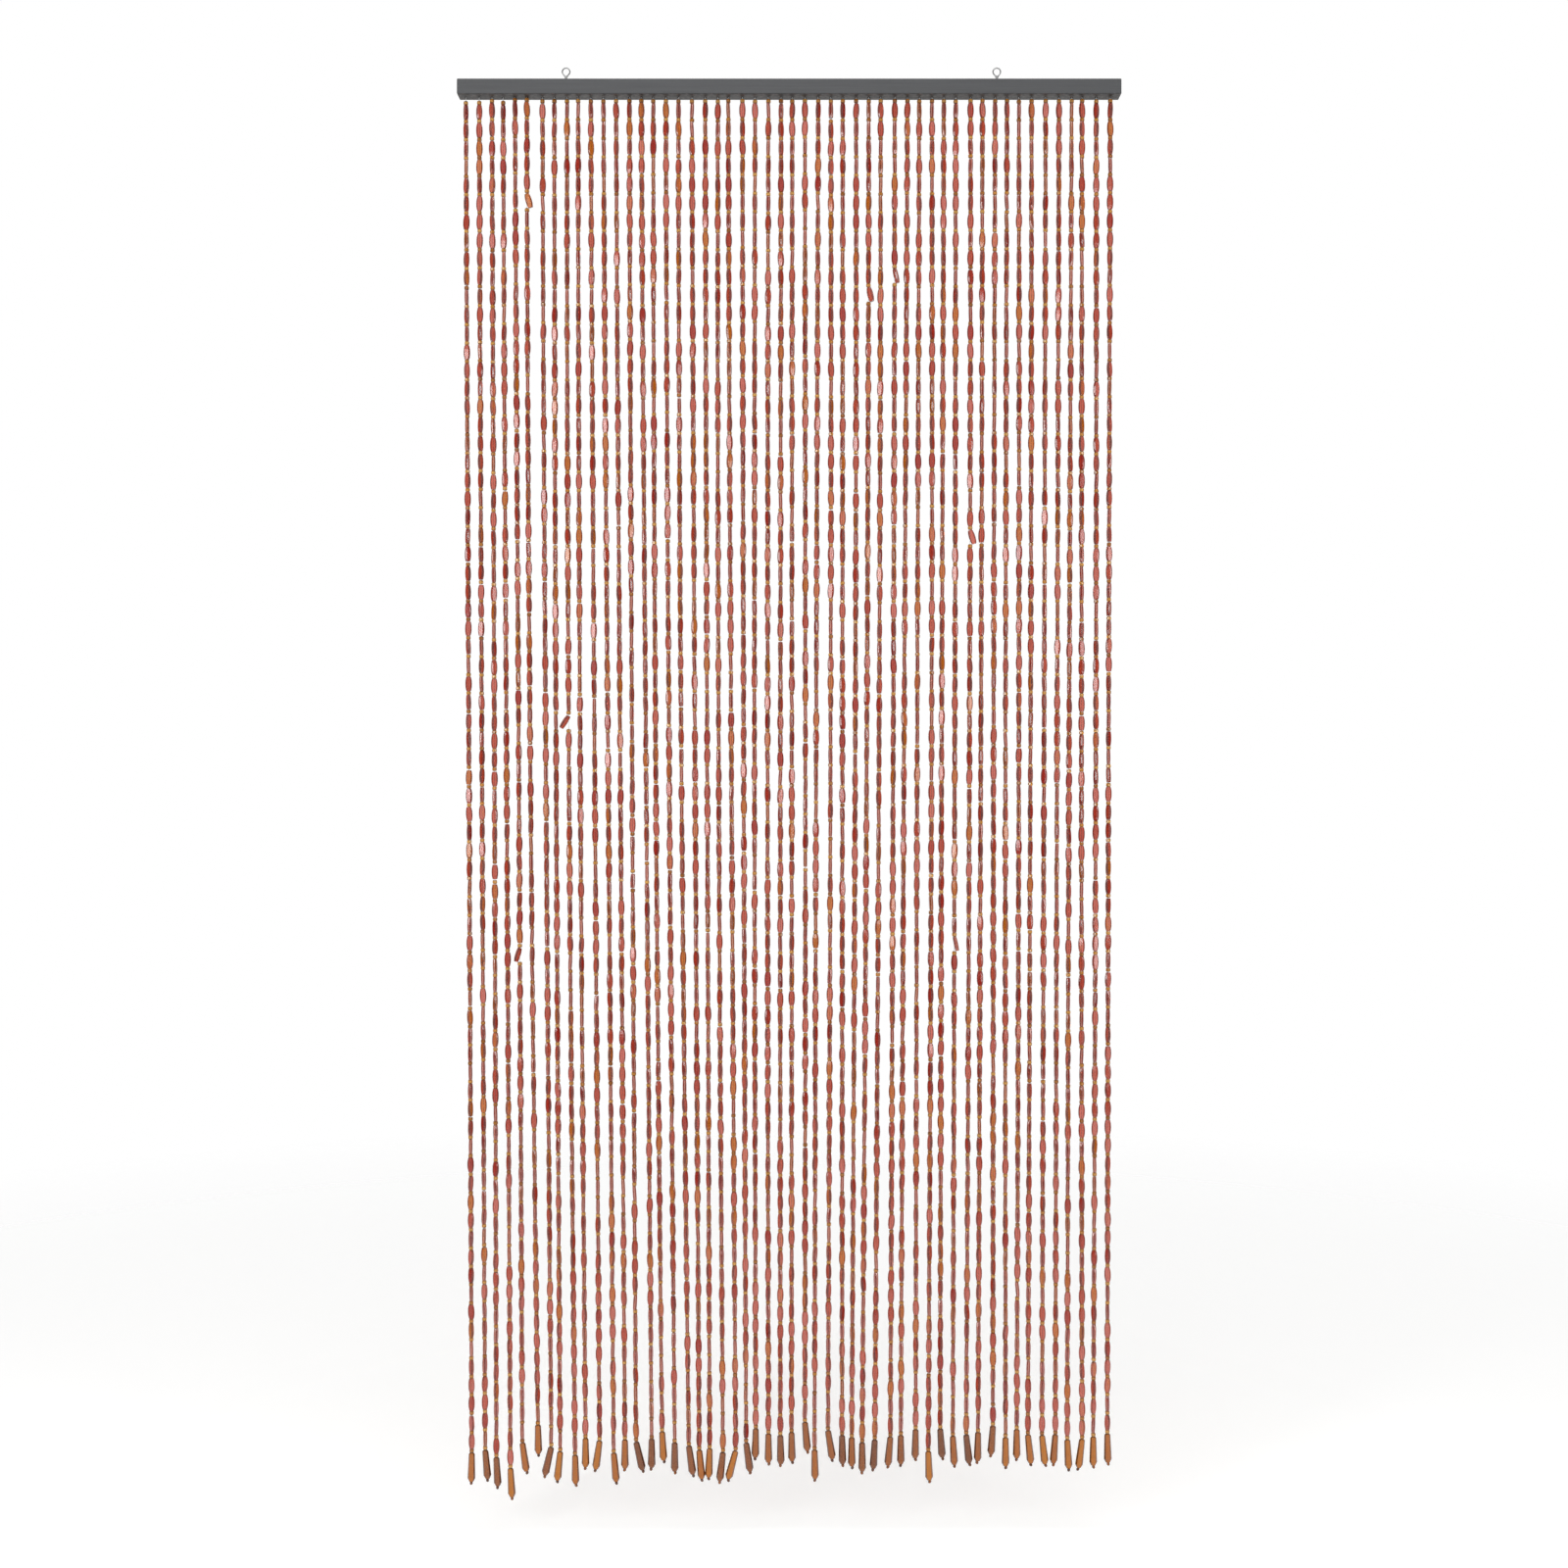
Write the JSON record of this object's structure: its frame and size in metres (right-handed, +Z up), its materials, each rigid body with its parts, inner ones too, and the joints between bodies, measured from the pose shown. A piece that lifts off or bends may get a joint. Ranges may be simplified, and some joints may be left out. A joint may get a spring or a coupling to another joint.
{
  "type": "bead curtain on a hanging bar",
  "caption": "Doorway curtain of coral and amber bead strings with long end drops, hung from a dark wooden bar by two wire screw eyes.",
  "frame": {"origin": "halfway between the two screw eyes, at the height where the tops of their loops bear on the hooks", "axes": "+X along the bar to the right as seen from the front, +Y to the back, +Z up"},
  "size_m": [0.9, 0.025, 1.9482],
  "materials": {
    "rail_paint": "dark grey painted softwood, satin, with faint grain along the bar",
    "galvanised_wire": "dull zinc-plated wire",
    "coral_beads": "clear tinted coral, rose and amber beads on clear line, glossy",
    "amber_drops": "clear amber-brown faceted drops, glossy"
  },
  "bodies": {
    "root": {"rail": "rail_paint", "eye_left": "galvanised_wire", "eye_right": "galvanised_wire", "strands": "coral_beads", "pendant_01": "amber_drops", "pendant_02": "amber_drops", "pendant_03": "amber_drops", "pendant_04": "amber_drops", "pendant_05": "amber_drops", "pendant_06": "amber_drops", "pendant_07": "amber_drops", "pendant_08": "amber_drops", "pendant_09": "amber_drops", "pendant_10": "amber_drops", "pendant_11": "amber_drops", "pendant_12": "amber_drops", "pendant_13": "amber_drops", "pendant_14": "amber_drops", "pendant_15": "amber_drops", "pendant_16": "amber_drops", "pendant_17": "amber_drops", "pendant_18": "amber_drops", "pendant_19": "amber_drops", "pendant_20": "amber_drops", "pendant_21": "amber_drops", "pendant_22": "amber_drops", "pendant_23": "amber_drops", "pendant_24": "amber_drops", "pendant_25": "amber_drops", "pendant_26": "amber_drops", "pendant_27": "amber_drops", "pendant_28": "amber_drops", "pendant_29": "amber_drops", "pendant_30": "amber_drops", "pendant_31": "amber_drops", "pendant_32": "amber_drops", "pendant_33": "amber_drops", "pendant_34": "amber_drops", "pendant_35": "amber_drops", "pendant_36": "amber_drops", "pendant_37": "amber_drops", "pendant_38": "amber_drops", "pendant_39": "amber_drops", "pendant_40": "amber_drops", "pendant_41": "amber_drops", "pendant_42": "amber_drops", "pendant_43": "amber_drops", "pendant_44": "amber_drops", "pendant_45": "amber_drops", "pendant_46": "amber_drops", "pendant_47": "amber_drops", "pendant_48": "amber_drops", "pendant_49": "amber_drops", "pendant_50": "amber_drops", "pendant_51": "amber_drops", "pendant_52": "amber_drops"}
  },
  "joints": []
}
